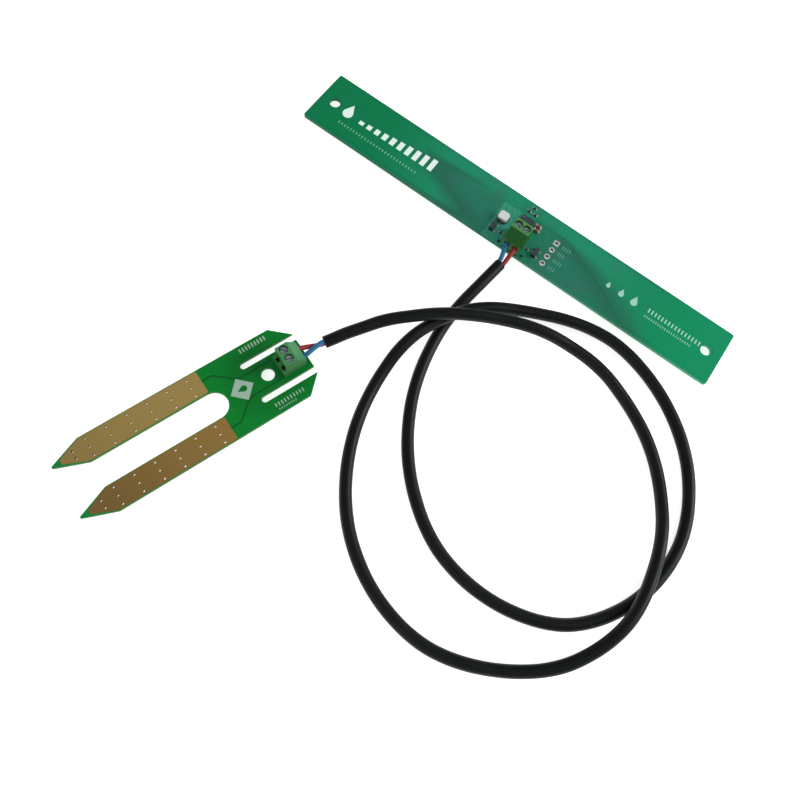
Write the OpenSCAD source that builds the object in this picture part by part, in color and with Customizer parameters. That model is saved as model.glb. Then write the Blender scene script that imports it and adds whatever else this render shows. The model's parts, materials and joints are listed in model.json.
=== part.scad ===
// Soil moisture sensor: a wireless tag board wired to a two-pronged probe board.
// The tag lies along X with the centre of its two mounting holes at the origin,
// and Z = 0 is the underside of both boards.

/* [Tag board] */
// Length of the tag board along X
tag_l = 132; // [130:1:140]
// Width of the tag board along Y
tag_w = 17.5; // [16.5:0.1:20]
// Distance between the two mounting holes
tag_hole_gap = 123; // [121:1:123]
// Diameter of each mounting hole
tag_hole_d = 3; // [2:0.1:4]
// Thickness of both circuit boards
board_t = 1; // [0.8:0.1:1.6]

/* [Probe board] */
// Length from the cable end of the probe board to its tips
probe_l = 64.3; // [63:0.1:80]
// Width across both prongs
probe_w = 20.5; // [19:0.5:21.5]
// Width of one prong
prong_w = 6.7; // [6.2:0.1:8]
// Length of the tapered point of each prong
point_l = 7.9; // [5:0.1:8.5]
// Diameter of the round mounting hole
probe_hole_d = 3.4; // [2:0.1:3.6]
// Place of the probe board in the plane of the tag
probe_at = [-23.75, -69.6];
// Direction in which the prongs point, turned from +X
probe_turn = 249.8; // [240:0.1:260]

/* [Terminals] */
// Distance between the two poles of each terminal block
pitch = 2.54; // [2.54:0.01:2.6]
// Height of the terminal block
block_h = 7.4; // [7.2:0.1:8.5]
// Depth of the terminal block along the wires
block_d = 5.55; // [5.3:0.05:6.5]
// Pitch of the clamp screw's thread
thread_pitch = 0.4; // [0.3:0.05:0.45]
// Turns of the screw from clamped to fully open
screw_turns = 2.25; // [1.5:0.25:2.25]
// Place of the tag's terminal block, at its screw axes
tag_block_at = [3.25, -4.6];
// Distance from the probe's cable end to its screw axes
probe_block_x = 5.3; // [4.8:0.1:6]
// Distance of the probe's terminal block from the board's centre line
probe_block_y = 0.4; // [0:0.1:0.6]

/* [Cable] */
// Outside diameter of the black jacket
cable_d = 3.2; // [3:0.1:3.3]
// Outside diameter of each insulated conductor
lead_d = 1.25; // [1:0.05:1.25]
// Diameter of the copper strands in each conductor
copper_d = 0.56; // [0.4:0.02:0.6]

/* [Hidden] */

$fn = 48;
eps = 0.01;            // overlap that makes a cut run clean through
foil_t = 0.05;         // raised copper foil
ink_t = 0.03;          // printed legend
corner_r = 0.6;        // rounded corners of the boards
pin_below = 1.6;       // how far the terminal pins stand out under a board

// Header row for wired readout: four plated holes along Y
header_x = 12.6;
header_y = -1.98;
header_pitch = 2.54;
header_count = 4;
eyelet_hole_d = 0.95;
eyelet_wall = 0.1;
eyelet_rim_d = 1.7;

// Probe outline, measured from the cable end of the board
ear_x = 4.75;          // where the ears reach full width
ear_tip_y = 5.9;       // half width of the ears at the cable end
slot_w = 1.75;
slot_y = 5.1;
slot_end_x = 15.5;     // closed end of the slots beside the terminal
gap_r = probe_w / 2 - prong_w;
gap_x = 25.8;          // centre of the round end of the gap between the prongs
hole_x = 10.75;
pad_start_x = 25.2;
pad_end_inset = 2.3;   // bare board left at the very tips
pad_inset = 0.2;
pad_corner_r = 0.3;
pad_tip_w = 1.2;
via_d = 0.9;
via_hole_d = 0.6;
via_rows = 6;
via_step = 5.35;
via_first_x = 28.2;
via_side = 2.3;
tip_via_x = probe_l - 5.6;
tip_via_side = 1;
diamond_x = 18.05;     // plain printed diamond between the slots
diamond_side = 4.5;
track_w = 0.4;
track_line = [[pad_start_x, 7], [22.4, 7], [18.5, 3.6], [16.9, 2.85], [8, 2.75]];

// Aerial foil: an end plate whose inner edge curves down from a strip along the rear edge
foil_inset = 1;
strip_w = 3.4;
strip_gap_x = [-1, 4.5];
left_curve_x = [-33, -13.5];
right_curve_x = [16, 38];
curve_start = [10, -8];
curve_end = [10, -14];

// Small parts on the tag board
chip_at = [2.4, 1.6];
inductor_at = [-3.3, -1.25];
capacitors_at = [[5.85, 2.85], [6, 1.45]];
resistors_at = [[2.05, 7.2], [1.2, 5.6], [3.3, 5.5], [-1.4, -5.1], [6.9, -4.9]];
transistors_at = [[9.45, -4.6], [-4.15, -4.9]];
transistor_w = 1.3;
lead_t = 0.12;

// Terminal block, in its own frame: wires enter from -Y, Z = 0 on the board
block_w = 2 * pitch + 0.22;
block_back = 1.65;
block_front = block_back - block_d;
block_flat = 3.25;     // depth of the flat top behind the sloping front
block_nose_h = 4.3;
foot_d = 0.8;          // ledge that stands out behind the back wall
foot_h = 3.1;
foot_wall = 0.2;
chamber_w = 2.1;
chamber_d = 2.5;
chamber_z = [0.6, 5.1];
well_d = 2.1;
well_floor = 6;
entry_d = 1.7;
entry_z = 2.62;
blade_z = 2.9;         // underside of the fixed contact blade
blade_t = 0.3;
blade_w = 1.1;
blade_leg_y = 1.25;    // rear face of the blade where it turns down to the pin
window_w = 1.2;        // pocket behind the back wall of each pole
window_z = [1.4, 5];
pin_d = 0.62;
pin_hole_d = 0.9;
clamp_w = 1.9;
clamp_d = 1.8;
clamp_wall = 0.3;
clamp_floor = 0.4;
clamp_roof = 0.7;
screw_head_d = 1.9;
screw_head_t = 0.9;
screw_d = 1.2;
screw_slot_w = 0.3;
screw_slot_t = 0.45;
running_gap = 0.05;
clamp_travel = screw_turns * thread_pitch;
wire_z = blade_z - copper_d / 2;

// Cable
strand_gap = 3.4;      // rise of the cable where it rests on another strand
cable_rest_z = cable_d / 2 - pin_below;
core_side = 0.65;      // offset of each conductor inside the jacket
jacket_bore_r = 1.37;
route_steps = 3;       // stations between two points of the route
// Points that the cable passes through from the tag to the probe:
// X, Y and the number of strands that it rests on there.
route = [
    [3.8, -14, 0.7], [1.5, -37.5, 0], [6, -57.5, 0], [18, -75.5, 0],
    [33, -85.5, 0], [51.5, -87.5, 0], [67, -82, 0], [78, -67.5, 0],
    [80.5, -48.5, 0], [73, -31, 0], [55.5, -17, 0], [39.5, -13, 0],
    [20, -19, 0.3], [4.5, -31, 1], [-2.5, -44.5, 0.9], [-3, -63, 0],
    [2.5, -80, 0], [13, -94, 0], [27, -102.5, 0], [42.5, -105, 0],
    [58.5, -100, 0], [71.5, -89.5, 0.4], [78, -74, 1], [76.5, -56, 0.9],
    [68.5, -38.5, 0], [54, -27, 0.1], [37.5, -22.5, 0.6], [19.5, -26, 1.5],
    [1.5, -36.5, 2], [-9.5, -46, 1.5], [-15.5, -53.5, 0.9], [-19.6, -60.4, 0.7]
];

// ---------------------------------------------------------------- curve maths

function unit(v) = v / norm(v);
function lift(p) = [p[0], p[1], cable_rest_z + p[2] * strand_gap];
function ease(t) = t * t * (3 - 2 * t);

// Point at fraction t of a cubic that leaves a with slope m and reaches b with slope n
function cubic(a, b, m, n, t) =
    (2 * pow(t, 3) - 3 * pow(t, 2) + 1) * a + (pow(t, 3) - 2 * pow(t, 2) + t) * m
    + (3 * pow(t, 2) - 2 * pow(t, 3)) * b + (pow(t, 3) - pow(t, 2)) * n;

// Slope at a point between its neighbours, scaled to the length of one span
function slope(before, here, after, span) =
    let (d0 = norm(here - before), d1 = norm(after - here))
    span * ((here - before) * d1 / d0 + (after - here) * d0 / d1) / (d0 + d1);

// Smooth curve through all points; its height eases from point to point
function smooth(p, steps) = [
    for (i = [0 : len(p) - 2])
        let (
            a = p[i],
            b = p[i + 1],
            before = i > 0 ? p[i - 1] : 2 * a - b,
            after = i < len(p) - 2 ? p[i + 2] : 2 * b - a,
            span = norm(b - a),
            m = slope(before, a, b, span),
            n = slope(a, b, after, span)
        )
        for (k = [0 : steps - 1])
            let (t = k / steps, c = cubic(a, b, m, n, t))
            [c[0], c[1], a[2] + (b[2] - a[2]) * ease(t)],
    p[len(p) - 1]
];

// Direction of a path at station i
function heading(path, i) =
    unit(path[min(i + 1, len(path) - 1)] - path[max(i - 1, 0)]);

// Level unit vector to the left of a heading
function leftward(h) = unit(cross([0, 0, 1], h));

// One ring of points around a path at station i
function ring(path, i, r, sides) =
    let (h = heading(path, i), s = leftward(h), u = cross(h, s))
    [for (k = [0 : sides - 1]) path[i] + r * (cos(360 * k / sides) * s + sin(360 * k / sides) * u)];

// Triangles of a skin between rings of the same number of sides
function skin(rings, sides, base, inward) = [
    for (i = [0 : rings - 2], k = [0 : sides - 1])
        let (
            a = base + i * sides + k,
            b = base + i * sides + (k + 1) % sides,
            c = a + sides,
            d = b + sides
        )
        for (f = [[a, c, b], [b, c, d]])
            inward ? [f[0], f[2], f[1]] : f
];

// Solid round rod that follows a path
module rod(path, r, sides) {
    n = len(path);
    points = [for (i = [0 : n - 1]) each ring(path, i, r, sides)];
    first = [for (k = [0 : sides - 1]) k];
    last = [for (k = [sides - 1 : -1 : 0]) (n - 1) * sides + k];
    polyhedron(points, concat([first], skin(n, sides, 0, false), [last]), convexity = 10);
}

// Hollow round sleeve that follows a path
module sleeve(path, r, r_in, sides) {
    n = len(path);
    outer = [for (i = [0 : n - 1]) each ring(path, i, r, sides)];
    inner = [for (i = [0 : n - 1]) each ring(path, i, r_in, sides)];
    base = n * sides;
    ends = [
        for (k = [0 : sides - 1])
            let (j = (k + 1) % sides, e = (n - 1) * sides)
            each [
                [k, j, base + j], [k, base + j, base + k],
                [e + k, base + e + j, e + j], [e + k, base + e + k, base + e + j]
            ]
    ];
    faces = concat(skin(n, sides, 0, false), skin(n, sides, base, true), ends);
    polyhedron(concat(outer, inner), faces, convexity = 10);
}

// ------------------------------------------------------------ placing helpers

module at_tag_block() {
    translate([tag_block_at[0], tag_block_at[1], board_t]) children();
}

module at_probe() {
    translate([probe_at[0], probe_at[1], 0]) rotate(probe_turn) translate([-ear_x, 0, 0])
        children();
}

module at_probe_block() {
    at_probe() translate([probe_block_x, probe_block_y, board_t]) rotate(-90) children();
}

// Point of the probe block's frame in the frame of the whole part
function from_probe_block(p) =
    let (
        x = probe_block_x - ear_x + p[1],
        y = probe_block_y - p[0],
        c = cos(probe_turn),
        s = sin(probe_turn)
    )
    [probe_at[0] + x * c - y * s, probe_at[1] + x * s + y * c, board_t + p[2]];

function from_tag_block(p) = [tag_block_at[0] + p[0], tag_block_at[1] + p[1], board_t + p[2]];

module rounded_plate(l, w, t, r) {
    linear_extrude(t) union() {
        square([l - 2 * r, w], center = true);
        square([l, w - 2 * r], center = true);
        for (x = [-1, 1], y = [-1, 1])
            translate([x * (l / 2 - r), y * (w / 2 - r)]) circle(r);
    }
}

// ------------------------------------------------------------- terminal block

// Cross-section of the housing, drawn with depth along X and height along Y
module block_profile() {
    polygon([
        [block_back + foot_d, 0], [block_back + foot_d, foot_h], [block_back, foot_h],
        [block_back, block_h], [block_back - block_flat, block_h],
        [block_front, block_nose_h], [block_front, 0]
    ]);
}

module terminal_housing() {
    difference() {
        rotate([90, 0, 90]) translate([0, 0, -block_w / 2]) linear_extrude(block_w) block_profile();
        for (s = [-1, 1]) translate([s * pitch / 2, 0, 0]) {
            translate([-chamber_w / 2, -chamber_d / 2, chamber_z[0]])
                cube([chamber_w, chamber_d, chamber_z[1] - chamber_z[0]]);
            translate([0, 0, well_floor]) cylinder(h = block_h, d = well_d);
            translate([0, 0, chamber_z[0]]) cylinder(h = block_h, d = screw_d + 4 * running_gap);
            translate([0, block_front - eps, entry_z]) rotate([-90, 0, 0])
                cylinder(h = -block_front, d = entry_d);
            // slot for the contact blade's leg, with a round recess for its tail
            translate([-blade_w / 2 - running_gap, blade_leg_y - blade_t - running_gap, -eps])
                cube([blade_w + 2 * running_gap, blade_t + 2 * running_gap, blade_z]);
            translate([0, blade_leg_y - blade_t / 2, -eps])
                cylinder(h = blade_t + running_gap, d = pin_d + 2 * running_gap);
            translate([-window_w / 2, 0, window_z[0]])
                cube([window_w, block_back + foot_d - foot_wall, window_z[1] - window_z[0]]);
        }
    }
}

// Fixed contact blade, its leg and its round tail, for one pole
module contact_pin() {
    leg_y = blade_leg_y - blade_t;
    translate([-blade_w / 2, -clamp_d / 2, blade_z])
        cube([blade_w, blade_leg_y + clamp_d / 2, blade_t]);
    translate([-blade_w / 2, leg_y, 0]) cube([blade_w, blade_t, blade_z + eps]);
    translate([0, leg_y + blade_t / 2, -board_t - pin_below])
        cylinder(h = board_t + pin_below + blade_t, d = pin_d, $fn = 24);
}

module contact_pins() {
    for (s = [-1, 1]) translate([s * pitch / 2, 0, 0]) contact_pin();
}

// Rising clamp: a square loop around the wire and the blade
module clamp_cage() {
    window_h = blade_t + clamp_travel + 0.1 + copper_d;
    floor_z = blade_z - copper_d - clamp_floor;
    difference() {
        translate([-clamp_w / 2, -clamp_d / 2, floor_z])
            cube([clamp_w, clamp_d, clamp_floor + window_h + clamp_roof]);
        translate([clamp_wall - clamp_w / 2, -clamp_d / 2 - eps, floor_z + clamp_floor])
            cube([clamp_w - 2 * clamp_wall, clamp_d + 2 * eps, window_h]);
        translate([0, 0, floor_z + clamp_floor])
            cylinder(h = window_h + 2 * clamp_roof, d = screw_d + 2 * running_gap);
    }
}

// Slotted clamp screw, held under the shoulder of its well
module clamp_screw() {
    tip_z = blade_z + blade_t;
    difference() {
        union() {
            translate([0, 0, tip_z]) cylinder(h = well_floor - tip_z + eps, d = screw_d);
            translate([0, 0, well_floor]) cylinder(h = screw_head_t, d = screw_head_d);
        }
        translate([-screw_head_d, -screw_slot_w / 2, well_floor + screw_head_t - screw_slot_t])
            cube([2 * screw_head_d, screw_slot_w, screw_slot_t + eps]);
    }
}

// Cone of solder around each pin tail under the board
module solder_cones() {
    for (s = [-1, 1])
        translate([s * pitch / 2, blade_leg_y - blade_t / 2, -board_t - 0.9]) difference() {
            cylinder(h = 0.9, d1 = pin_d + 0.3, d2 = 1.9);
            translate([0, 0, -eps]) cylinder(h = 1, d = pin_d, $fn = 24);
        }
}

module pin_holes() {
    for (s = [-1, 1])
        translate([s * pitch / 2, blade_leg_y - blade_t / 2, -2 * board_t])
            cylinder(h = 3 * board_t, d = pin_hole_d);
}

// ------------------------------------------------------------------ tag board

module header_spot(i) {
    translate([header_x, header_y + (i - (header_count - 1) / 2) * header_pitch, 0]) children();
}

module tag_board() color("seagreen") difference() {
    rounded_plate(tag_l, tag_w, board_t, corner_r);
    for (s = [-1, 1]) translate([s * tag_hole_gap / 2, 0, -eps])
        cylinder(h = board_t + 2 * eps, d = tag_hole_d);
    for (i = [0 : header_count - 1]) header_spot(i) translate([0, 0, -eps])
        cylinder(h = board_t + 2 * eps, d = eyelet_hole_d + 2 * eyelet_wall);
    at_tag_block() pin_holes();
}

// Inner edge of an aerial arm, from the strip's lower edge down to the front edge
function arm_edge(x) =
    let (half = tag_w / 2 - foil_inset)
    [for (t = [0 : 0.125 : 1]) cubic([x[0], half - strip_w], [x[1], -half], curve_start, curve_end, t)];

// One arm of the aerial: an end plate and a strip that reaches towards the middle
module antenna_arm(edge_x, end_x, gap_x) {
    half = tag_w / 2 - foil_inset;
    hole_x = sign(end_x) * tag_hole_gap / 2;
    translate([0, 0, board_t]) linear_extrude(foil_t) difference() {
        polygon(concat(
            [[end_x, half], [gap_x, half], [gap_x, half - strip_w]],
            arm_edge(edge_x),
            [[end_x, -half]]
        ));
        translate([hole_x, 0]) circle(d = tag_hole_d + 1.4);
    }
}

module tag_antenna_left() color("darkgreen")
    antenna_arm(left_curve_x, foil_inset - tag_l / 2, strip_gap_x[0]);

module tag_antenna_right() color("darkgreen")
    antenna_arm(right_curve_x, tag_l / 2 - foil_inset, strip_gap_x[1]);

// Plated holes of the header row; the first has a square rim
module tag_header_eyelets() color("silver") for (i = [0 : header_count - 1])
    header_spot(i) difference() {
        union() {
            cylinder(h = board_t, d = eyelet_hole_d + 2 * eyelet_wall);
            for (z = [-foil_t, board_t]) translate([0, 0, z]) linear_extrude(foil_t)
                if (i == header_count - 1) square(eyelet_rim_d, center = true);
                else circle(d = eyelet_rim_d);
        }
        translate([0, 0, -board_t]) cylinder(h = 3 * board_t, d = eyelet_hole_d);
    }

module tag_terminal_housing() color("limegreen") at_tag_block() terminal_housing();

module tag_terminal_pins() color("gainsboro") at_tag_block() contact_pins();

module tag_screw_red() color("silver")
    at_tag_block() translate([pitch / 2, 0, 0]) rotate(25) clamp_screw();

module tag_screw_blue() color("silver")
    at_tag_block() translate([-pitch / 2, 0, 0]) rotate(-30) clamp_screw();

module tag_clamp_red() color("gold") at_tag_block() translate([pitch / 2, 0, 0]) clamp_cage();

module tag_clamp_blue() color("gold") at_tag_block() translate([-pitch / 2, 0, 0]) clamp_cage();

module tag_solder_joints() color("lightgray") at_tag_block() solder_cones();

// Small block with a stepped top edge, standing on the tag board
module chip(at, l, w, h, edge = 0.1) {
    translate([at[0] - l / 2, at[1] - w / 2, board_t]) cube([l, w, h - edge]);
    translate([at[0] - l / 2 + edge, at[1] - w / 2 + edge, board_t + h - edge - eps])
        cube([l - 2 * edge, w - 2 * edge, edge + eps]);
}

// Plate with its four corners cut off
module cut_plate(l, w, cut, h) {
    x = l / 2;
    y = w / 2;
    linear_extrude(h) polygon([
        [x, cut - y], [x, y - cut], [x - cut, y], [cut - x, y],
        [-x, y - cut], [-x, cut - y], [cut - x, -y], [x - cut, -y]
    ]);
}

module tag_radio_chip() color("dimgray") chip(chip_at, 3.7, 3.7, 0.85);

// Wound power part: a square body with cut corners, under a plain cap
module tag_power_inductor() color("whitesmoke")
    translate([inductor_at[0], inductor_at[1], board_t]) {
        cut_plate(3, 2.8, 0.5, 1.5);
        translate([0, 0, 1.5]) cut_plate(2.8, 2.6, 0.45, 0.5);
    }

module tag_chip_capacitors() color("peru")
    for (p = capacitors_at) chip(p, 1.6, 0.8, 0.8);

module tag_chip_resistors() color("black")
    for (p = resistors_at) chip(p, 1, 0.5, 0.35, 0.04);

module tag_transistors() color("black")
    for (p = transistors_at) translate([0, 0, 0.1]) chip(p, transistor_w, 2.9, 1, 0.15);

// Three gull-wing leads on each transistor: feet on the board, uprights on the body's sides
module tag_transistor_leads() color("silver") for (p = transistors_at)
    for (leg = [[1, 0.95], [1, -0.95], [-1, 0]])
        translate([p[0], p[1] + leg[1] - 0.2, board_t]) mirror([leg[0] < 0 ? 1 : 0, 0]) {
            translate([transistor_w / 2, 0, 0]) cube([0.55, 0.4, 0.1]);
            translate([transistor_w / 2, 0, 0]) cube([lead_t, 0.4, 0.5]);
        }

// Plain printed drop, with its centre at the origin and its point upwards
module drop_mark(r) {
    circle(r);
    polygon([[-r * 0.9, r * 0.45], [r * 0.9, r * 0.45], [0, r * 2.2]]);
}

// Row of equal bars; start is the centre of the first, and size its length and width
module bars(start, count, step, size) {
    for (i = [0 : count - 1]) translate([start[0] + i * step, start[1]])
        square(size, center = true);
}

module tag_legend() color("white") {
    translate([0, 0, board_t + foil_t]) linear_extrude(ink_t) {
        // level scale on the left arm, with a ruler of fine bars below it
        translate([-56.6, -0.6]) drop_mark(1.5);
        for (i = [0 : 9]) translate([-52.4 + 2.6 * i, -1.4])
            square([1.5, 1.2 + 0.32 * i]);
        bars([-56.8, -4.4], 27, 1, [0.3, 0.8]);
        // three drops and two rows of fine bars on the right arm
        for (i = [0 : 2]) translate([30.6 + 4.1 * i, -0.2]) drop_mark(0.6 + 0.2 * i);
        bars([43.4, 0.4], 16, 1.05, [0.4, 1.4]);
        bars([43.2, -1.7], 21, 0.7, [0.22, 0.7]);
    }
    translate([0, 0, board_t]) linear_extrude(ink_t) {
        // a few bars beside each hole of the header row
        for (i = [0 : header_count - 1])
            header_spot(i) bars([2.1, 0], 3 + i % 2, 0.75, [0.22, 1.2]);
        // outlines of small parts
        for (p = transistors_at, y = [-1.75, 1.75])
            translate([p[0], p[1] + y]) square([1.6, 0.15], center = true);
        for (p = resistors_at, x = [-0.85, 0.85])
            translate([p[0] + x, p[1]]) square([0.15, 0.7], center = true);
        translate([inductor_at[0], inductor_at[1]]) difference() {
            square([4, 3.8], center = true);
            square([3.7, 3.5], center = true);
        }
    }
}

// ---------------------------------------------------------------- probe board

// Half of the probe's outline lies at positive Y; the other half mirrors it
module probe_half() {
    outer = probe_w / 2;
    inner = gap_r;
    mid = (outer + inner) / 2;
    difference() {
        polygon([
            [0, 0], [0, ear_tip_y], [ear_x, outer], [probe_l - point_l, outer],
            [probe_l, mid + 0.2], [probe_l, mid - 0.2], [probe_l - point_l, inner],
            [gap_x, inner], [gap_x, 0]
        ]);
        translate([gap_x, 0]) circle(gap_r);
        translate([-eps, slot_y - slot_w / 2]) square([slot_end_x - slot_w / 2, slot_w]);
        translate([slot_end_x - slot_w / 2, slot_y]) circle(slot_w / 2);
    }
}

module probe_outline() {
    probe_half();
    mirror([0, 1]) probe_half();
}

// Rows of three plated holes across a prong, and one pair near its tip
module via_spots() {
    mid = (probe_w / 2 + gap_r) / 2;
    for (i = [0 : via_rows - 1], k = [-1, 0, 1])
        translate([via_first_x + i * via_step, mid + k * via_side]) children();
    for (k = [-1, 1]) translate([tip_via_x, mid + k * tip_via_side]) children();
}

module probe_board() color("green") at_probe() difference() {
    linear_extrude(board_t) difference() {
        probe_outline();
        translate([hole_x, 0]) circle(d = probe_hole_d);
        for (s = [0, 1]) mirror([0, s]) via_spots() circle(d = via_d);
    }
    translate([probe_block_x, probe_block_y, board_t]) rotate(-90) pin_holes();
}

// Gold-plated face of one prong
module pad_shape() {
    outer = probe_w / 2 - pad_inset;
    inner = gap_r + pad_inset;
    mid = (outer + inner) / 2;
    shoulder = probe_l - point_l;
    tip = probe_l - pad_end_inset;
    offset(r = pad_corner_r) offset(delta = -pad_corner_r) polygon([
        [pad_start_x, outer], [shoulder, outer], [tip, mid + pad_tip_w / 2],
        [tip, mid - pad_tip_w / 2], [shoulder, inner], [pad_start_x, inner]
    ]);
}

// One electrode: a pad on each face, joined through the board by plated holes
module electrode() difference() {
    union() {
        for (z = [-foil_t, board_t]) translate([0, 0, z]) linear_extrude(foil_t) pad_shape();
        via_spots() cylinder(h = board_t, d = via_d);
    }
    via_spots() translate([0, 0, -board_t]) cylinder(h = 3 * board_t, d = via_hole_d);
}

module probe_electrode_red() color("darkgoldenrod") at_probe() mirror([0, 1]) electrode();

module probe_electrode_blue() color("darkgoldenrod") at_probe() electrode();

// Narrow copper track under the mask, from a pad past the diamond to the terminal block
module track() linear_extrude(foil_t) for (i = [0 : len(track_line) - 2]) {
    a = track_line[i];
    b = track_line[i + 1];
    translate(a) rotate(atan2(b[1] - a[1], b[0] - a[0])) translate([0, -track_w / 2])
        square([norm(b - a), track_w]);
    if (i > 0) translate(a) circle(d = track_w, $fn = 24);
}

module probe_tracks() color("darkgreen") at_probe() translate([0, 0, board_t]) {
    track();
    mirror([0, 1]) track();
}

module probe_terminal_housing() color("palegreen") at_probe_block() terminal_housing();

module probe_terminal_pins() color("gainsboro") at_probe_block() contact_pins();

module probe_screw_red() color("silver")
    at_probe_block() translate([pitch / 2, 0, 0]) rotate(40) clamp_screw();

module probe_screw_blue() color("silver")
    at_probe_block() translate([-pitch / 2, 0, 0]) rotate(70) clamp_screw();

module probe_clamp_red() color("gold") at_probe_block() translate([pitch / 2, 0, 0]) clamp_cage();

module probe_clamp_blue() color("gold") at_probe_block() translate([-pitch / 2, 0, 0]) clamp_cage();

module probe_solder_joints() color("lightgray") at_probe_block() solder_cones();

// Plain diamond with a drop left out of it, and rows of fine bars on the ears
module probe_legend() color("white") at_probe() translate([0, 0, board_t]) linear_extrude(ink_t) {
    difference() {
        translate([diamond_x, 0]) rotate(45) square(diamond_side, center = true);
        translate([diamond_x - 0.5, 0]) rotate(-90) drop_mark(0.8);
    }
    bars([6.6, -8.8], 9, 0.85, [0.4, 1.2]);
    bars([5.6, 7.9], 10, 0.85, [0.32, 1]);
    bars([8.4, 9.2], 8, 0.65, [0.22, 0.5]);
}

// ---------------------------------------------------------------------- cable

cable_path = smooth([for (p = route) lift(p)], route_steps);
cable_end = len(cable_path) - 1;
side_red = 1;          // the red conductor lies on the left, looking from the tag
turn_steps = 9;        // stations over which the pair turns, until blue lies above red at the probe

// Path of one conductor inside the jacket
function core_path(s) = [
    for (i = [0 : cable_end])
        let (
            h = heading(cable_path, i),
            left = leftward(h),
            turn = 90 * ease(max(0, 1 - (cable_end - i) / turn_steps))
        )
        cable_path[i] + s * core_side * (cos(turn) * left - sin(turn) * cross(h, left))
];

// Lead from the tag's clamp to the jacket: stations in the tag block's frame
function tag_lead(s) =
    let (
        x = s * pitch / 2,
        entry = from_tag_block([x, block_front + 0.3, entry_z]),
        start = core_path(s)[0],
        out = [0, -4, -0.3]
    )
    concat(
        [from_tag_block([x, clamp_d / 2 - 0.3, wire_z]), from_tag_block([x, -clamp_d / 2 - 0.4, wire_z])],
        [for (t = [0 : 0.25 : 0.75]) cubic(entry, start, out, 4 * heading(cable_path, 0), t)]
    );

// Lead from the jacket to the probe's clamp; the blue lead runs above the red one
function probe_lead(s) =
    let (
        x = s * pitch / 2,
        entry = from_probe_block([x, block_front + 0.3, entry_z]),
        end = core_path(s)[cable_end],
        dir = unit(from_probe_block([0, 1, 0]) - from_probe_block([0, 0, 0])),
        hump = -s * 0.25
    )
    concat(
        [
            for (t = [0.125 : 0.125 : 1])
                cubic(end, entry, 5 * heading(cable_path, cable_end), 5 * dir, t)
                + [0, 0, hump * sin(180 * t)]
        ],
        [from_probe_block([x, -clamp_d / 2 - 0.4, wire_z]), from_probe_block([x, clamp_d / 2 - 0.3, wire_z])]
    );

function conductor_path(s) = concat(tag_lead(s), core_path(s), probe_lead(s));

// The same path without its stripped ends
function covered_path(s) =
    let (p = conductor_path(s))
    [for (i = [1 : len(p) - 2]) p[i]];

module insulation(s) sleeve(covered_path(s), lead_d / 2, copper_d / 2 + 0.04, 8);

module copper(s) rod(conductor_path(s), copper_d / 2, 6);

module cable_jacket() color("#202423") sleeve(cable_path, cable_d / 2, jacket_bore_r, 12);

module red_insulation() color("firebrick") insulation(side_red);

module blue_insulation() color("steelblue") insulation(-side_red);

module red_copper() color("peru") copper(side_red);

module blue_copper() color("peru") copper(-side_red);

tag_board();
tag_antenna_left();
tag_antenna_right();
tag_header_eyelets();
tag_terminal_housing();
tag_terminal_pins();
tag_screw_red();
tag_screw_blue();
tag_clamp_red();
tag_clamp_blue();
tag_solder_joints();
tag_radio_chip();
tag_power_inductor();
tag_chip_capacitors();
tag_chip_resistors();
tag_transistors();
tag_transistor_leads();
tag_legend();
probe_board();
probe_electrode_red();
probe_electrode_blue();
probe_tracks();
probe_terminal_housing();
probe_terminal_pins();
probe_screw_red();
probe_screw_blue();
probe_clamp_red();
probe_clamp_blue();
probe_solder_joints();
probe_legend();
cable_jacket();
red_insulation();
blue_insulation();
red_copper();
blue_copper();
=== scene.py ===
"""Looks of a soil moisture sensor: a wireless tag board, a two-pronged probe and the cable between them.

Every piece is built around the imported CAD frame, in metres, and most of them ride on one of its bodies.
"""

import json
import math

import bmesh
import bpy
import numpy as np
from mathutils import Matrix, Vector


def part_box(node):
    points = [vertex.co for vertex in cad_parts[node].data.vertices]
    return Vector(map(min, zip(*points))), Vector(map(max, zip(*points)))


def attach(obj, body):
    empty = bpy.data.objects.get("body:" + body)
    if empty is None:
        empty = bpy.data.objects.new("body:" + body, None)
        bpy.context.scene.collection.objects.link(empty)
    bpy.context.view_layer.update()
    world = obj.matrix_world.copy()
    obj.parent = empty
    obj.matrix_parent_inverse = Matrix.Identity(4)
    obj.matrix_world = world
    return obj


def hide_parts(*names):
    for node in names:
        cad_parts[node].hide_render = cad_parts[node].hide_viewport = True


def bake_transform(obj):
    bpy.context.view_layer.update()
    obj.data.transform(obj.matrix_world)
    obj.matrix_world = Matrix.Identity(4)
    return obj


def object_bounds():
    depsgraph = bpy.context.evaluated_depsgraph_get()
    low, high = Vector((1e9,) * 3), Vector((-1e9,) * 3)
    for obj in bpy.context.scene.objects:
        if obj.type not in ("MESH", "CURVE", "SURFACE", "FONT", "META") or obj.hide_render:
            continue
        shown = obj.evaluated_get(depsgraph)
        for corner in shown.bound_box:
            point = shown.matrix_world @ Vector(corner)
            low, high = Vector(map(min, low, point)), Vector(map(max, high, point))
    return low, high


MM = 0.001
UP = np.array([0.0, 0.0, 1.0])
LEADS = ("red", "blue")

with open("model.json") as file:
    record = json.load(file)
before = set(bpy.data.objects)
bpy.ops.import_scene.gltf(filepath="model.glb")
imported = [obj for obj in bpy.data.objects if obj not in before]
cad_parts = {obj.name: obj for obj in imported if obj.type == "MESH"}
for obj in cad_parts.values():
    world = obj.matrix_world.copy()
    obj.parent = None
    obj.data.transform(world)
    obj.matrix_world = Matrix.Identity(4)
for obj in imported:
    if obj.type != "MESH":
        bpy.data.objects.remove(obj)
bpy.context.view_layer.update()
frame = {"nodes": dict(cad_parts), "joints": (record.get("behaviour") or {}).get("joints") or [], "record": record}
nodes = frame["nodes"]
joints = {joint["name"]: joint for joint in frame["joints"]}
mounts = {mount["name"]: mount for mount in frame["record"]["mounts"]}


# ------------------------------------------------------------------- materials


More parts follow.
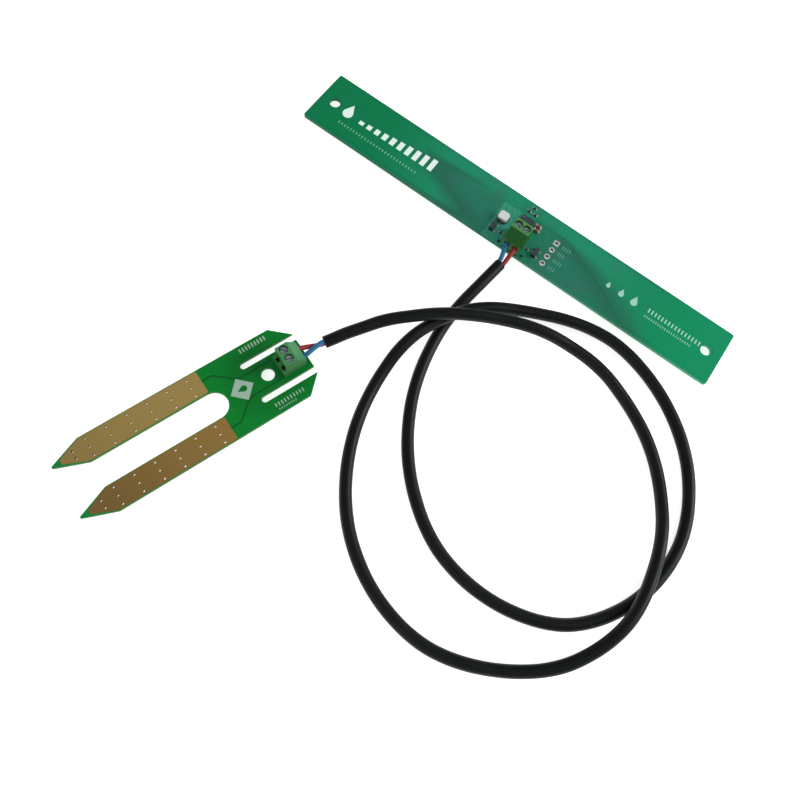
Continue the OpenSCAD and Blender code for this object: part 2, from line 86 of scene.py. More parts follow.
def srgb(red, green, blue):
    """Linear colour of an sRGB colour given as 0 to 255."""
    linear = []
    for level in (red, green, blue):
        share = level / 255
        linear.append(share / 12.92 if share <= 0.04045 else ((share + 0.055) / 1.055) ** 2.4)
    return (*linear, 1.0)


class Shader:
    """One procedural material, with short calls that wire its nodes. Lengths are in millimetres."""

    # Blender's Mix node has a set of sockets for each kind of value, and these are the colour ones
    MIX_A, MIX_B, MIX_RESULT = 6, 7, 2

    def __init__(self, name):
        self.material = bpy.data.materials.new(name)
        self.material.use_nodes = True
        self.tree = self.material.node_tree
        self.surface = self.tree.nodes["Principled BSDF"]
        coordinates = self.tree.nodes.new("ShaderNodeTexCoord")
        self.place = self.scaled(coordinates.outputs["Object"], 1 / MM)
        self.x, self.y, self.z = self.split(self.place)
        geometry = self.tree.nodes.new("ShaderNodeNewGeometry")
        self.facing_up = self.split(geometry.outputs["Normal"])["Z"]

    def feed(self, socket, value):
        """Links value to socket if it is a socket, and otherwise sets it."""
        if isinstance(value, bpy.types.NodeSocket):
            self.tree.links.new(value, socket)
        else:
            socket.default_value = value

    def math(self, operation, a, b=0.0, c=0.0):
        """One sum, product or other function of up to three values."""
        node = self.tree.nodes.new("ShaderNodeMath")
        node.operation = operation
        for socket, value in zip(node.inputs, (a, b, c)):
            self.feed(socket, value)
        return node.outputs[0]

    def split(self, vector):
        """The x, y and z of a vector."""
        node = self.tree.nodes.new("ShaderNodeSeparateXYZ")
        self.tree.links.new(vector, node.inputs[0])
        return node.outputs

    def scaled(self, vector, factor):
        """A vector multiplied by a factor."""
        node = self.tree.nodes.new("ShaderNodeVectorMath")
        node.operation = "SCALE"
        self.feed(node.inputs[0], vector)
        self.feed(node.inputs["Scale"], factor)
        return node.outputs[0]

    def step(self, value, low, high):
        """Goes smoothly from 0 where value is at low to 1 where it is at high, which may be the smaller."""
        node = self.tree.nodes.new("ShaderNodeMapRange")
        node.interpolation_type = "SMOOTHSTEP"
        self.feed(node.inputs["Value"], value)
        node.inputs["From Min"].default_value = min(low, high)
        node.inputs["From Max"].default_value = max(low, high)
        node.inputs["To Min"].default_value = float(low > high)
        node.inputs["To Max"].default_value = float(low <= high)
        return node.outputs["Result"]

    def around(self, value, middle, width):
        """1 where value is near middle, falling to 0 at width away on each side."""
        away = self.math("ABSOLUTE", self.math("SUBTRACT", value, middle))
        return self.step(away, width, 0.35 * width)

    def flat(self, upright, level):
        """1 on faces that look up or down, and 0 on the sides of a piece."""
        return self.step(self.math("ABSOLUTE", self.facing_up), upright, level)

    def distance(self, place):
        """Distance, seen from above, to a place that is given in metres."""
        squares = [
            self.math("POWER", self.math("SUBTRACT", axis, float(at / MM)), 2.0)
            for axis, at in zip((self.x, self.y), place)
        ]
        return self.math("SQRT", self.math("ADD", *squares))

    def noise(self, size, detail=3.0, stretch=None):
        """Noise from 0 to 1 in patches about size across, made longer by a stretch below 1."""
        node = self.tree.nodes.new("ShaderNodeTexNoise")
        node.inputs["Scale"].default_value = 1 / size
        node.inputs["Detail"].default_value = detail
        place = self.place
        if stretch:
            mapping = self.tree.nodes.new("ShaderNodeMapping")
            mapping.inputs["Scale"].default_value = stretch
            self.tree.links.new(place, mapping.inputs["Vector"])
            place = mapping.outputs[0]
        self.tree.links.new(place, node.inputs["Vector"])
        return node.outputs["Fac"]

    def uneven(self, size, low, high, detail=3.0, stretch=None):
        """A level that wanders between low and high in patches about size across."""
        return self.math("MULTIPLY_ADD", self.noise(size, detail, stretch), high - low, low)

    def mix(self, share, a, b):
        """From colour a where share is 0 to colour b where it is 1."""
        node = self.tree.nodes.new("ShaderNodeMix")
        node.data_type = "RGBA"
        self.feed(node.inputs["Factor"], share)
        self.feed(node.inputs[self.MIX_A], a)
        self.feed(node.inputs[self.MIX_B], b)
        return node.outputs[self.MIX_RESULT]

    def cover(self, colour, other, share, *shares):
        """A colour with another laid over it, as far as the product of the shares."""
        for more in shares:
            share = self.math("MULTIPLY", share, more)
        return self.mix(share, colour, other)

    def shade(self, colour, brightness):
        """The colour multiplied by a brightness."""
        is_socket = isinstance(colour, bpy.types.NodeSocket)
        return self.scaled(colour if is_socket else colour[:3], brightness)

    def bump(self, height, depth_mm):
        """Raises the look of the surface by up to a depth."""
        node = self.tree.nodes.new("ShaderNodeBump")
        node.inputs["Distance"].default_value = depth_mm * MM
        node.inputs["Strength"].default_value = 1.0
        self.tree.links.new(height, node.inputs["Height"])
        self.tree.links.new(node.outputs["Normal"], self.surface.inputs["Normal"])

    def finish(self, colour, roughness, metallic=0.0, specular=0.5):
        """Sets the surface and gives the material."""
        self.feed(self.surface.inputs["Base Color"], colour)
        self.feed(self.surface.inputs["Roughness"], roughness)
        self.surface.inputs["Metallic"].default_value = metallic
        self.surface.inputs["Specular IOR Level"].default_value = specular
        return self.material


def mottled(name, colour, roughness, size, metallic=0.0, specular=0.5, depth=0.01):
    """A plain finish with slight unevenness of tone, gloss and surface."""
    s = Shader(name)
    s.bump(s.noise(size), depth)
    gloss = s.uneven(2 * size, roughness - 0.08, roughness + 0.08)
    return s.finish(s.shade(colour, s.uneven(size, 0.88, 1.12)), gloss, metallic, specular)


def give(material, name):
    """Puts a material on a CAD node."""
    data = nodes[name].data
    data.materials.clear()
    data.materials.append(material)


# ------------------------------------------------------------- places and sizes


def box(name):
    """Low and high corners of a CAD node."""
    low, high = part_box(name)
    return np.array(low), np.array(high)


def merged(name):
    """Vertices of a CAD node with doubles merged, and its edges as pairs of their numbers."""
    mesh = nodes[name].data
    points = np.zeros(len(mesh.vertices) * 3)
    mesh.vertices.foreach_get("co", points)
    points = points.reshape(-1, 3)
    edges = np.zeros(len(mesh.edges) * 2, int)
    mesh.edges.foreach_get("vertices", edges)
    microns = np.round(points / (0.001 * MM)).astype(int)
    _, first, number = np.unique(microns, axis=0, return_index=True, return_inverse=True)
    return points[first], number.ravel()[edges].reshape(-1, 2)


def islands(name):
    """Low and high corners of each separate solid of a CAD node, from left to right."""
    points, edges = merged(name)
    group = np.arange(len(points))
    while True:
        lowest = group.copy()
        np.minimum.at(lowest, edges[:, 0], group[edges[:, 1]])
        np.minimum.at(lowest, edges[:, 1], group[edges[:, 0]])
        if (lowest == group).all():
            break
        group = lowest
    boxes = [(points[group == g].min(0), points[group == g].max(0)) for g in np.unique(group)]
    return sorted(boxes, key=lambda corners: corners[0][0])


def stations(name, near, reach):
    """Centres of the rings of a swept CAD node, starting from the ring closest to a point."""
    points, edges = merged(name)
    start = points[np.argmin(np.linalg.norm(points - near, axis=1))]
    reached = np.linalg.norm(points - start, axis=1) < reach
    centres = [points[reached].mean(0)]
    while not reached.all():
        touching = reached[edges]
        onward = np.unique(edges[touching.any(1) & ~touching.all(1)])
        ring = onward[~reached[onward]]
        centres.append(points[ring].mean(0))
        reached[ring] = True
    return np.array(centres)


# --------------------------------------------------------------- swept geometry


def unit(vector):
    """A vector made one long."""
    return vector / np.linalg.norm(vector)


def smooth(points, steps):
    """A finer path through the points, with continuous direction."""
    before = np.vstack([2 * points[0] - points[1], points[:-1]])
    after = np.vstack([points[1:], 2 * points[-1] - points[-2]])
    back = np.linalg.norm(points - before, axis=1)[:, None]
    on = np.linalg.norm(after - points, axis=1)[:, None]
    slope = ((points - before) * on / back + (after - points) * back / on) / (back + on)
    path = []
    for a, b, m, n, span in zip(points[:-1], points[1:], slope[:-1], slope[1:], on[:-1]):
        for t in np.arange(steps) / steps:
            path.append(
                (2 * t**3 - 3 * t**2 + 1) * a
                + (t**3 - 2 * t**2 + t) * m * span
                + (3 * t**2 - 2 * t**3) * b
                + (t**3 - t**2) * n * span
            )
    path.append(points[-1])
    return np.array(path)


def lengths(path):
    """Distance along a path at each of its points."""
    return np.concatenate([[0], np.cumsum(np.linalg.norm(np.diff(path, axis=0), axis=1))])


def at_length(path, values, at):
    """The values that go with a path's points, read off at a distance along it."""
    along = lengths(path)
    return np.array([np.interp(at, along, values[:, axis]) for axis in range(3)])


def cut_path(path, start, end):
    """The part of a path between two distances along it."""
    along = lengths(path)
    inside = (along > start) & (along < end)
    return np.vstack([at_length(path, path, start), path[inside], at_length(path, path, end)])


def frames(path):
    """Level sideways and upward unit vectors at each point of a path."""
    heading = np.gradient(path, axis=0)
    heading /= np.linalg.norm(heading, axis=1)[:, None]
    side = np.cross(UP, heading)
    side /= np.linalg.norm(side, axis=1)[:, None]
    return side, np.cross(heading, side)


def skin(rings, sides):
    """Faces of a closed skin over rings of vertices, both of whose ends are closed."""
    faces = []
    last = (rings - 1) * sides
    for start in range(0, last, sides):
        for k in range(sides):
            a, b = start + k, start + (k + 1) % sides
            faces.append((a, a + sides, b + sides, b))
    return faces + [tuple(range(sides)), tuple(reversed(range(last, last + sides)))]


def new_object(name, vertices, faces, material, smooth_shading=True):
    """A mesh object in the scene."""
    mesh = bpy.data.meshes.new(name)
    mesh.from_pydata([tuple(v) for v in vertices], [], faces)
    mesh.materials.append(material)
    mesh.polygons.foreach_set("use_smooth", [smooth_shading] * len(mesh.polygons))
    mesh.update()
    made = bpy.data.objects.new(name, mesh)
    bpy.context.scene.collection.objects.link(made)
    return made


def sweep(name, path, rings, sides, material):
    """A closed round skin. Each ring is a distance along the path and a radius."""
    side, up = frames(path)
    angle = 2 * np.pi * np.arange(sides) / sides
    vertices = []
    for at, radius in rings:
        centre, s, u = (at_length(path, values, at) for values in (path, side, up))
        vertices.append(centre + radius * (np.cos(angle)[:, None] * s + np.sin(angle)[:, None] * u))
    return new_object(name, np.vstack(vertices), skin(len(rings), sides), material)


# ---------------------------------------------------------------- board finish

# grain of a sawn board edge: long along the board, and fine through its thickness
SAWN = (0.2, 0.2, 6.0)


def edge_curve(name):
    """Polynomial, in millimetres, that gives x on the inner edge of an aerial arm from y."""
    points, _ = merged(name)
    low, high = box(name)
    hole = 0.5 * mounts["tag_mounting_holes"]["dims"]["spacing_x_mm"] * MM
    away_from_hole = np.linalg.norm(np.abs(points[:, :2]) - [hole, 0], axis=1) > 4 * MM
    away_from_ends = np.abs(points[:, 0]) < 0.9 * max(abs(low[0]), abs(high[0]))
    below_strip = points[:, 1] < high[1] - 3 * MM
    edge = points[away_from_hole & away_from_ends & below_strip]
    return np.polyfit(edge[:, 1] / MM, edge[:, 0] / MM, 3)


def curve_distance(s, curve):
    """Distance along x from an aerial arm's inner edge, positive to the right."""
    x = float(curve[0])
    for term in curve[1:]:
        x = s.math("MULTIPLY_ADD", x, s.y, float(term))
    return s.math("SUBTRACT", s.x, x)


def mask_colour(s, on_copper):
    """Green solder mask of the tag board: vivid at its ends and greyer in the middle."""
    off_middle = s.math("ABSOLUTE", s.math("SUBTRACT", s.x, 3.0))
    # painted highlight: the vivid green is brighter towards the right end, where the key light's reflection falls
    vivid = s.mix(s.step(s.x, 20.0, 60.0), srgb(0, 118, 72), srgb(0, 136, 90))
    light = srgb(26, 134, 98)
    grey = srgb(34, 112, 90)
    colour = s.mix(s.step(off_middle, 18.0, 52.0), light if on_copper else grey, vivid)
    # a lighter band towards the rear edge in the middle of the board
    colour = s.cover(colour, light, s.step(s.y, 1.0, 6.0), s.step(off_middle, 42.0, 22.0), 0.7)
    clouds = s.step(s.noise(9.0, 2.0), 0.5, 0.72)
    return s.cover(colour, srgb(58, 98, 90), clouds, s.step(off_middle, 44.0, 18.0), 0.4)


def aerial_bands(s, colour):
    """Both sides of each aerial arm's inner edge fall into a soft dark band."""
    for arm, width in (("left", 11.0), ("right", 13.0)):
        away = s.math("ABSOLUTE", curve_distance(s, edge_curve(f"tag_antenna_{arm}")))
        colour = s.cover(colour, srgb(32, 98, 78), s.step(away, width, 0.0), s.step(s.y, 7.0, 2.5), 0.8)
    return colour


def circuit_area(s, colour):
    """The part of the board that carries the circuit is a clearer green, and tracks show through it."""
    across = s.math("MULTIPLY", s.step(s.x, -6.0, -5.5), s.step(s.x, 15.0, 7.0))
    circuit = s.math("MULTIPLY", across, s.step(s.y, 4.4, 3.8))
    clear = s.mix(s.step(s.x, -2.0, 8.0), srgb(52, 146, 118), srgb(26, 118, 88))
    colour = s.cover(colour, clear, circuit, 0.85)
    slant = s.math("ADD", s.x, s.math("MULTIPLY", s.y, 0.8))
    wander = s.math("MULTIPLY_ADD", s.noise(2.2, 1.0), 6.0, slant)
    track = s.step(s.math("SINE", s.math("MULTIPLY", wander, 3.2)), 0.55, 0.9)
    return s.cover(colour, srgb(12, 92, 66), circuit, track, 0.3)


def tag_finish(name, on_copper):
    """The tag board's solder mask, with sawn laminate at its edges, painted darker on the left as shade and paler
    to the right as light.
    """
    s = Shader(name)
    colour = circuit_area(s, aerial_bands(s, mask_colour(s, on_copper)))
    colour = s.shade(colour, s.uneven(1.4, 0.95, 1.05))
    # painted light and shade: the cut edge goes from shaded dark on the left to lit pale on the right
    cut = s.mix(s.step(s.x, -10.0, 40.0), srgb(8, 92, 58), srgb(70, 160, 118))
    laminate = s.shade(cut, s.uneven(0.25, 0.7, 1.2, 2.0, SAWN))
    s.bump(s.noise(2.5, 2.0), 0.02)
    colour = s.mix(s.flat(0.4, 0.6), laminate, colour)
    return s.finish(colour, s.uneven(5.0, 0.33, 0.47), specular=0.14)


def probe_finish(name, on_copper):
    """Green solder mask on the probe board, with the laminate showing at its cut edges."""
    s = Shader(name)
    from_hole = s.distance(mounts["probe_mounting_hole"]["pos_m"])
    near = srgb(0, 84, 27) if on_copper else srgb(0, 108, 36)
    further = srgb(0, 88, 28) if on_copper else srgb(0, 119, 40)
    tips = srgb(18, 124, 56)
    colour = s.mix(s.step(from_hole, 7.0, 13.0), near, further)
    colour = s.mix(s.step(from_hole, 36.0, 52.0), colour, tips)
    colour = s.shade(colour, s.uneven(2.0, 0.94, 1.06))
    laminate = s.mix(s.noise(0.25, 2.0, SAWN), srgb(28, 88, 36), srgb(64, 110, 52))
    s.bump(s.noise(2.5, 2.0), 0.02)
    colour = s.mix(s.flat(0.4, 0.6), laminate, colour)
    return s.finish(colour, s.uneven(4.0, 0.36, 0.5), specular=0.14)


def gold_finish():
    """Dull plating that darkens towards the prong on the right and towards the tips."""
    s = Shader("plated_gold")
    low, high = box("probe_electrode_blue")
    middle = 0.5 * (low + high) / MM
    # across the board, which lies turned by about 20 degrees
    across_x, across_y = 0.94, -0.34
    across = s.math("ADD", s.math("MULTIPLY", s.x, across_x), s.math("MULTIPLY", s.y, across_y))
    prong = float(across_x * middle[0] + across_y * middle[1])
    right = s.step(across, prong - 9.0, prong - 3.0)
    far = s.step(s.y, float(high[1] / MM), float(low[1] / MM))
    upper = s.mix(far, srgb(153, 130, 73), srgb(139, 116, 64))
    lower = s.mix(far, srgb(140, 110, 54), srgb(116, 91, 46))
    colour = s.shade(s.mix(right, upper, lower), s.uneven(0.45, 0.94, 1.06))
    # painted light and shade: the upright faces, which are mostly hole walls, are painted pale as if lit, and dark
    # towards the tips as painted shade
    wall = s.mix(s.step(far, 0.6, 0.9), srgb(160, 140, 104), srgb(64, 46, 26))
    colour = s.mix(s.flat(0.6, 0.3), colour, wall)
    s.bump(s.noise(0.4), 0.01)
    return s.finish(colour, s.uneven(3.0, 0.5, 0.6), metallic=0.15, specular=0.25)


def ink_finish():
    """White ink: bright on the left arm, thinner elsewhere, and greyish on the probe."""
    s = Shader("legend_ink")
    left = s.step(s.x, -24.0, -28.0)
    colour = s.mix(left, srgb(96, 158, 138), srgb(222, 240, 234))
    colour = s.mix(s.step(s.x, 24.0, 28.0), colour, srgb(150, 202, 184))
    # the row of fine marks along the front of the left arm
    colour = s.cover(colour, srgb(116, 176, 152), left, s.step(s.y, -3.4, -3.8))
    colour = s.mix(s.step(s.y, -40.0, -44.0), colour, srgb(146, 174, 156))
    printed = s.step(s.noise(0.35, 4.0), 0.3, 0.42)
    colour = s.shade(colour, s.math("MULTIPLY_ADD", printed, 0.12, 0.88))
    return s.finish(colour, s.uneven(1.0, 0.5, 0.6), specular=0.2)


# ------------------------------------------------------------- component finish


def housing_finish(name, board, top, slope, wall):
    """Moulded plastic, with painted light and shade on its faces by the way each looks, pale painted highlights
    along its edges, and painted shadow in its screw wells.
    """
    s = Shader(name)
    # painted light and shade: top, slope and wall are lit and shaded copies of the plastic's colour, picked by the
    # way each face looks
    sides = s.mix(s.step(s.facing_up, 0.2, 0.5), wall, slope)
    colour = s.mix(s.step(s.facing_up, 0.9, 0.98), sides, top)
    # painted highlight: a pale band on the rounded edges where faces meet
    colour = s.cover(colour, srgb(150, 192, 150), s.around(s.facing_up, 0.82, 0.14), 0.55)
    for lead in LEADS:
        low, high = box(f"{board}_screw_{lead}")
        radius = 0.5 * (high[0] - low[0]) / MM
        # painted shadow: the screw wells are painted nearly black
        well_shadow = s.step(s.distance(0.5 * (low + high)), radius + 0.22, radius + 0.1)
        colour = s.mix(well_shadow, colour, srgb(14, 34, 18))
    colour = s.shade(colour, s.uneven(0.8, 0.94, 1.06))
    s.bump(s.noise(0.18), 0.008)
    s.surface.inputs["Subsurface Weight"].default_value = 0.06
    s.surface.inputs["Subsurface Scale"].default_value = 0.5 * MM
    return s.finish(colour, s.uneven(1.5, 0.4, 0.5), specular=0.15)


def inductor_finish():
    """Light cap above a dark wound body."""
    s = Shader("white_part")
    height = float(box("tag_power_inductor")[1][2] / MM)
    cap = s.step(s.z, height - 0.62, height - 0.52)
    body = s.mix(s.step(s.noise(0.5, 1.0), 0.45, 0.55), srgb(50, 54, 54), srgb(96, 104, 104))
    # painted light and shade: the cap's upward faces are painted brighter than its sloping sides
    top = s.mix(s.step(s.facing_up, 0.6, 0.95), srgb(150, 156, 156), srgb(206, 210, 206))
    s.bump(s.noise(0.3), 0.01)
    return s.finish(s.shade(s.mix(cap, body, top), s.uneven(0.7, 0.92, 1.04)), 0.42, specular=0.3)


def chip_finish():
    """Dark epoxy with one pale dot that marks the first pin of the radio chip."""
    s = Shader("chip_epoxy")
    low, high = box("tag_radio_chip")
    inset = 0.6 * MM
    dot = s.step(s.distance((low[0] + inset, high[1] - inset)), 0.26, 0.2)
    # painted light and shade: the top is painted lighter than the sides
    colour = s.mix(s.step(s.facing_up, 0.9, 0.5), srgb(52, 62, 70), srgb(30, 36, 40))
    colour = s.mix(dot, colour, srgb(104, 112, 116))
    s.bump(s.noise(0.12), 0.008)
    return s.finish(s.shade(colour, s.uneven(0.3, 0.9, 1.1)), 0.48, specular=0.3)


def eyelet_finish():
    """Bright tinned rims around hole walls painted dark as shade."""
    s = Shader("eyelet")
    # painted shade: faces that look sideways, the hole walls, are dark, and the flat rims are bright
    colour = s.mix(s.flat(0.4, 0.7), srgb(52, 56, 54), srgb(186, 186, 188))
    s.bump(s.noise(0.3), 0.01)
    return s.finish(s.shade(colour, s.uneven(0.4, 0.9, 1.1)), s.uneven(0.8, 0.36, 0.46), metallic=0.3)


def jacket_finish():
    """Black plastic with a finely uneven surface."""
    s = Shader("jacket_black")
    colour = s.mix(s.noise(6.0, 2.0), srgb(4, 10, 9), srgb(12, 18, 17))
    s.bump(s.noise(0.22, 4.0), 0.012)
    return s.finish(colour, s.uneven(1.2, 0.38, 0.5), specular=0.2)


def lead_finish(name, colour, pale):
    """Insulation of one conductor, paler in patches."""
    s = Shader(name)
    s.bump(s.noise(0.3), 0.008)
    return s.finish(s.mix(s.noise(0.9), colour, pale), s.uneven(0.5, 0.38, 0.48), specular=0.3)


finishes = {
    "tag_mask": tag_finish("tag_mask", False),
    "masked_copper": tag_finish("masked_copper", True),
    "probe_mask": probe_finish("probe_mask", False),
    "probe_track": probe_finish("probe_track", True),
    "plated_gold": gold_finish(),
    "tinned": mottled("tinned", srgb(176, 174, 172), 0.38, 0.4, metallic=0.6),
    "solder": mottled("solder", srgb(176, 178, 182), 0.34, 0.5, metallic=0.7, depth=0.03),
    "screw_steel": mottled("screw_steel", srgb(134, 156, 156), 0.4, 0.25, metallic=0.45),
    "clamp_brass": mottled("clamp_brass", srgb(186, 158, 92), 0.35, 0.4, metallic=0.9),
    # each housing's top, slope and wall colours are lit and shaded copies of its plastic: painted light and shade
    "tag_terminal_plastic": housing_finish(
        "tag_terminal_plastic", "tag", srgb(72, 132, 68), srgb(26, 88, 34), srgb(28, 90, 32)
    ),
    "probe_terminal_plastic": housing_finish(
        "probe_terminal_plastic", "probe", srgb(68, 132, 78), srgb(54, 128, 80), srgb(44, 108, 58)
    ),
    "chip_epoxy": chip_finish(),
    "white_part": inductor_finish(),
    "chip_ceramic": mottled("chip_ceramic", srgb(112, 86, 66), 0.45, 0.3, specular=0.3),
    "resistor_body": mottled("resistor_body", srgb(26, 28, 34), 0.4, 0.2, specular=0.3),
    "legend_ink": ink_finish(),
    "jacket_black": jacket_finish(),
    "insulation_red": lead_finish("insulation_red", srgb(124, 18, 24), srgb(152, 34, 38)),
    "insulation_blue": lead_finish("insulation_blue", srgb(8, 82, 124), srgb(24, 106, 150)),
    "copper": mottled("copper", srgb(196, 120, 80), 0.35, 0.2, metallic=0.9),
}

for part in frame["record"]["subparts"]:
    give(finishes[part["material_slot"]], part["node"])
give(eyelet_finish(), "tag_header_eyelets")


def add(made, body):
    """Lets a new piece ride on a body."""
    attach(made, body)
    return made


# ----------------------------------------------------------------------- cable

TAG_EXIT = np.array(joints["tag_lead_swing"]["pos_m"])
JACKET_R = 1.6 * MM
LEAD_R = 0.625 * MM
CORE_R = 0.28 * MM

jacket_path = smooth(stations("cable_jacket", TAG_EXIT, 3.4 * MM), 6)
jacket_length = lengths(jacket_path)[-1]


def jacket_rings():
    """Rings from the bottom of the recess at one cut end, over the skin, to the other recess."""
    # distance along the jacket and radius, from inside the recess over its rounded lip
    lip = [(1.4, 1.26), (0.04, 1.28), (0.0, 1.34), (0.0, 1.48), (0.05, 1.56), (0.16, 1.6)]
    first = [(at * MM, radius * MM) for at, radius in lip]
    last = [(jacket_length - at, radius) for at, radius in reversed(first)]
    margin = 0.6 * MM
    spacing = 1.1 * MM
    along = np.arange(margin, jacket_length - margin, spacing)
    # the skin is very slightly thicker and thinner along its length
    swell = 1 + 0.006 * np.sin(along / MM * 0.55) + 0.005 * np.sin(along / MM * 0.21 + 1.0)
    radii = np.minimum(JACKET_R * swell, 1.62 * MM)
    return first + list(zip(along, radii)) + last


jacket = sweep("cable_jacket_skin", jacket_path, jacket_rings(), 40, finishes["jacket_black"])
add(jacket, "cable")
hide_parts("cable_jacket")


def insulation(colour, board, path):
    """One conductor's insulation at one board, which bends between the block and the jacket."""
    at_tag = board == "tag"
    jacket_end = jacket_path[0 if at_tag else -1]
    along = lengths(path)
    mouth = along[np.argmin(np.linalg.norm(path - jacket_end, axis=1))]
    hidden = 6 * MM
    piece = cut_path(path, 0.0, mouth + hidden) if at_tag else cut_path(path, mouth - hidden, along[-1])
    rings = [(at, LEAD_R) for at in np.linspace(0, lengths(piece)[-1], 64)]
    slot = f"insulation_{colour}"
    made = sweep(f"{colour}_lead_at_{board}", piece, rings, 20, finishes[slot])
    if at_tag:
        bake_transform(made)
    else:
        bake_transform(made)
    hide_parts(f"{colour}_insulation")


def bare_core(colour, board, centres):
    """One conductor's bare copper in its clamp, which runs a little way into the insulation."""
    at_tag = board == "tag"
    start, end = centres[:2] if at_tag else centres[-2:]
    overlap = unit(end - start) * 0.6 * MM
    core = np.array([start, end + overlap] if at_tag else [start - overlap, end])
    core_length = np.linalg.norm(core[1] - core[0])
    rings = [(at, CORE_R) for at in np.linspace(0, core_length, 5)]
    made = sweep(f"{colour}_copper_at_{board}", smooth(core, 4), rings, 12, finishes["copper"])
    add(made, board)
    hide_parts(f"{colour}_copper")


def conductor(colour):
    """Both visible ends of one conductor, at the tag board and at the probe."""
    low, high = box(f"tag_clamp_{colour}")
    insulation_start = 0.5 * (low + high) - [0, 2.3 * MM, 0.8 * MM]
    copper_start = insulation_start + [0, 2 * MM, 0]
    path = smooth(stations(f"{colour}_insulation", insulation_start, 2 * LEAD_R), 6)
    centres = stations(f"{colour}_copper", copper_start, 0.62 * MM)
    for board in ("tag", "probe"):
        insulation(colour, board, path)
        bare_core(colour, board, centres)


for colour in LEADS:
    conductor(colour)


# ----------------------------------------------------------------- fine edges


def soften(made, width_mm, sharp=40):
    """Rounds the edges of an object whose faces meet at more than a sharp angle, in degrees."""
    bevel = made.modifiers.new("soft_edges", "BEVEL")
    bevel.width = width_mm * MM
    bevel.segments = 2
    bevel.limit_method = "ANGLE"
    bevel.angle_limit = math.radians(sharp)


for board in ("tag", "probe"):
    soften(nodes[f"{board}_terminal_housing"], 0.1)
    for colour in LEADS:
        soften(nodes[f"{board}_screw_{colour}"], 0.06)
for name, width_mm in {
    "tag_radio_chip": 0.05,
    "tag_power_inductor": 0.12,
    "tag_transistors": 0.06,
    "tag_transistor_leads": 0.04,
    "tag_chip_capacitors": 0.05,
    "tag_chip_resistors": 0.03,
    "tag_board": 0.06,
    "probe_board": 0.06,
}.items():
    soften(nodes[name], width_mm)


# ---------------------------------------------------------------- small pieces


def prism(profile, start, end):
    """Vertices and faces of a profile in X and Z, drawn from start to end along Y."""
    vertices = [(x, y, z) for y in (start, end) for x, z in profile]
    return vertices, skin(2, len(profile))


def joined(name, solids, slot, bevel_mm):
    """One piece on the tag board made from several closed solids."""
    vertices, faces = [], []
    for more, corners in solids:
        faces += [tuple(k + len(vertices) for k in face) for face in corners]
        vertices += more
    made = add(new_object(name, vertices, faces, finishes[slot], False), "tag")
    mesh = bmesh.new()
    mesh.from_mesh(made.data)
    bmesh.ops.recalc_face_normals(mesh, faces=mesh.faces)
    mesh.to_mesh(made.data)
    mesh.free()
    soften(made, bevel_mm, 30)


def chip_ends(name):
    """A tinned cap and a solder fillet at each end of every chip of a node."""
    solids = []
    proud = 0.02 * MM
    for low, high in islands(name):
        length, height = high[0] - low[0], high[2] - low[2]
        foot = 0.3 * height + 0.08 * MM
        cap = 0.19 * length
        top = high[2] + proud
        for end, inward in ((low[0], 1), (high[0], -1)):
            profile = [
                (end - inward * foot, low[2]),
                (end - inward * proud, low[2] + 0.7 * height),
                (end - inward * proud, top),
                (end + inward * cap, top),
                (end + inward * cap, low[2]),
            ]
            solids.append(prism(profile, low[1] - proud, high[1] + proud))
    return solids


def radio_pads():
    """Tinned pads that show around the foot of the radio chip, six on each side."""
    low, high = box("tag_radio_chip")
    middle = 0.5 * (low + high)
    half = 0.5 * (high[0] - low[0])
    pitch = 0.5 * MM
    length, width, thickness = 0.3 * MM, 0.26 * MM, 0.08 * MM
    solids = []
    for i in range(6):
        along = (i - 2.5) * pitch
        for side in (-half, half):
            for (x, y), (size_x, size_y) in (
                ((middle[0] + side, middle[1] + along), (length, width)),
                ((middle[0] + along, middle[1] + side), (width, length)),
            ):
                left, right = x - 0.5 * size_x, x + 0.5 * size_x
                bottom, top = low[2], low[2] + thickness
                profile = [(left, bottom), (right, bottom), (right, top), (left, top)]
                solids.append(prism(profile, y - 0.5 * size_y, y + 0.5 * size_y))
    return solids


def test_pads():
    """Oval dark pads beside the front of the terminal block."""
    low, high = box("tag_terminal_housing")
    board_top = box("tag_board")[1][2]
    y = low[1] + 0.9 * MM
    half_width, half_depth, thickness = 0.5 * MM, 0.4 * MM, 0.05 * MM
    sides = 16
    turns = [2 * math.pi * k / sides for k in range(sides)]
    solids = []
    for x in (low[0] - 1.1 * MM, high[0] + 0.9 * MM):
        ring = [(x + half_width * math.cos(turn), y + half_depth * math.sin(turn)) for turn in turns]
        vertices = [(*place, board_top + rise) for rise in (0.0, thickness) for place in ring]
        solids.append((vertices, skin(2, sides)))
    return solids


joined("capacitor_ends", chip_ends("tag_chip_capacitors"), "tinned", 0.04)
joined("resistor_ends", chip_ends("tag_chip_resistors"), "tinned", 0.02)
joined("radio_chip_pads", radio_pads(), "tinned", 0.02)
joined("test_pads", test_pads(), "resistor_body", 0.01)


# ----------------------------------------------------------------- stage, light


def floor_finish():
    """Near-white floor that glows a little, so that shadows stay soft and pale."""
    s = Shader("floor_white")
    s.surface.inputs["Emission Color"].default_value = (1.0, 1.0, 1.0, 1.0)
    s.surface.inputs["Emission Strength"].default_value = 0.72
    return s.finish(s.shade(srgb(228, 228, 228), s.uneven(60.0, 0.99, 1.0)), 0.9, specular=0.1)


def make_stage():
    """A wide level floor under the lowest point of the part."""
    floor_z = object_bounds()[0][2]
    reach = 3.0
    corners = [(x * reach, y * reach, floor_z) for x, y in ((-1, -1), (1, -1), (1, 1), (-1, 1))]
    new_object("floor", corners, [(0, 1, 2, 3)], floor_finish(), False)


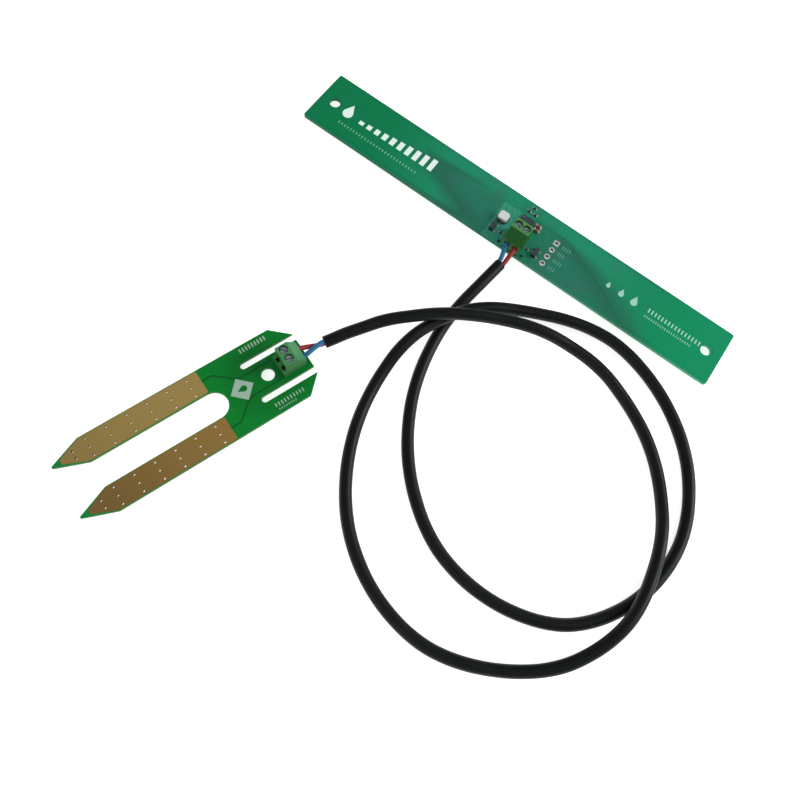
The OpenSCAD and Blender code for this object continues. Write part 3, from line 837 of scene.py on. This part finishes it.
def area_light(name, place, target, size, power):
    """A round light that points at a target."""
    data = bpy.data.lights.new(name, "AREA")
    data.shape = "DISK"
    data.size = size
    data.energy = power
    made = bpy.data.objects.new(name, data)
    made.location = place
    made.rotation_mode = "QUATERNION"
    made.rotation_quaternion = (Vector(target) - Vector(place)).to_track_quat("-Z", "Y")
    bpy.context.scene.collection.objects.link(made)


def make_surroundings():
    """White surroundings, dimmer in reflections and full white behind the part."""
    world = bpy.data.worlds.new("studio")
    bpy.context.scene.world = world
    world.use_nodes = True
    tree = world.node_tree
    background = tree.nodes["Background"]
    background.inputs["Color"].default_value = (1.0, 1.0, 1.0, 1.0)
    rays = tree.nodes.new("ShaderNodeLightPath")
    base = tree.nodes.new("ShaderNodeValue")
    base.outputs[0].default_value = 0.62
    strength = base.outputs[0]
    for ray, change in (("Is Glossy Ray", -0.3), ("Is Camera Ray", 0.38)):
        node = tree.nodes.new("ShaderNodeMath")
        node.operation = "MULTIPLY_ADD"
        tree.links.new(rays.outputs[ray], node.inputs[0])
        node.inputs[1].default_value = change
        tree.links.new(strength, node.inputs[2])
        strength = node.outputs[0]
    tree.links.new(strength, background.inputs["Strength"])


def make_light():
    """A key light on the right behind the part and a weak fill in front of it."""
    make_surroundings()
    middle = (0.01, -0.06, 0.0)
    area_light("key", (0.7, 0.42, 0.5), middle, 0.5, 6.5)
    area_light("fill", (0.0, -0.6, 0.5), middle, 0.6, 0.8)
    settings = bpy.context.scene.view_settings
    settings.view_transform = "Standard"
    settings.look = "None"


def make_camera():
    """Above the coil, looking down and rolled so that the tag board runs down to the right."""
    data = bpy.data.cameras.new("camera")
    data.sensor_width = 36.0
    data.lens = 32.895
    data.clip_start = 0.01
    data.clip_end = 20.0
    made = bpy.data.objects.new("camera", data)
    made.location = (0.02192, -0.11569, 0.17384)
    made.rotation_euler = [math.radians(angle) for angle in (17.566, -5.703, 35.322)]
    bpy.context.scene.collection.objects.link(made)
    bpy.context.scene.camera = made


make_stage()
make_light()
make_camera()
